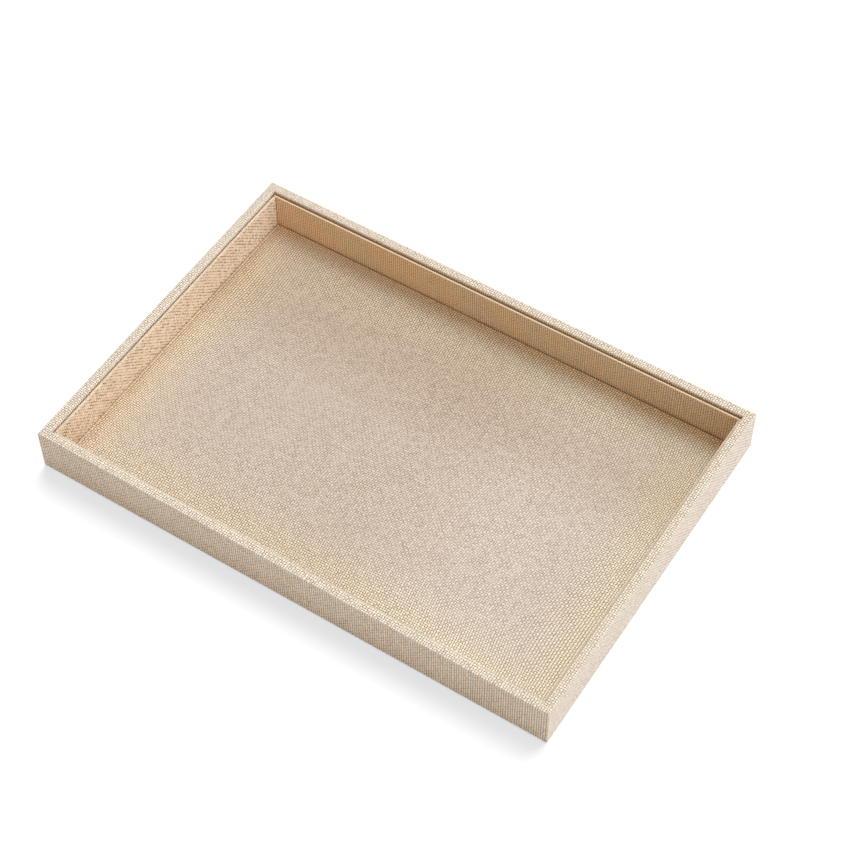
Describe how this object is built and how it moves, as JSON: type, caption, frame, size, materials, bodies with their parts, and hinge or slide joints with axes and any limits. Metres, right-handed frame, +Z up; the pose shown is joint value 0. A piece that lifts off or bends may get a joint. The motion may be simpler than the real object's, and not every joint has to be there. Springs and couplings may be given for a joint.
{
  "type": "jewelry tray",
  "caption": "Shallow open rectangular display tray with linen-wrapped board walls, linen-covered inner liners and a loose linen floor pad, for laying out jewelry.",
  "frame": {"origin": "centre of the underside, on the surface that the tray stands on", "axes": "+X along the length, +Y across the width towards the back wall, +Z up out of the tray"},
  "size_m": [0.35, 0.24, 0.031],
  "materials": {
    "linen": "coarse plain-weave natural linen, matte",
    "fibreboard": "raw medium-density fibreboard",
    "hardboard": "raw hardboard",
    "card": "raw grey card",
    "felt": "thin pressed felt",
    "pin_steel": "bright steel wire"
  },
  "bodies": {
    "tray": {"base_board": "hardboard", "base_felt": "felt", "corner_pins": "pin_steel", "base_pins": "pin_steel", "rail_front": "fibreboard", "linen_wrap_front": "linen", "liner_card_front": "card", "liner_cover_front": "linen", "rail_right": "fibreboard", "linen_wrap_right": "linen", "liner_card_right": "card", "liner_cover_right": "linen", "rail_back": "fibreboard", "linen_wrap_back": "linen", "liner_card_back": "card", "liner_cover_back": "linen", "rail_left": "fibreboard", "linen_wrap_left": "linen", "liner_card_left": "card", "liner_cover_left": "linen"},
    "pad": {"pad_card": "card", "pad_cover": "linen"}
  },
  "joints": [
    {"name": "pad_lift", "type": "slide", "parent": "tray", "child": "pad", "axis": [0, 0, 1], "range_m": [0, 0.04]}
  ]
}
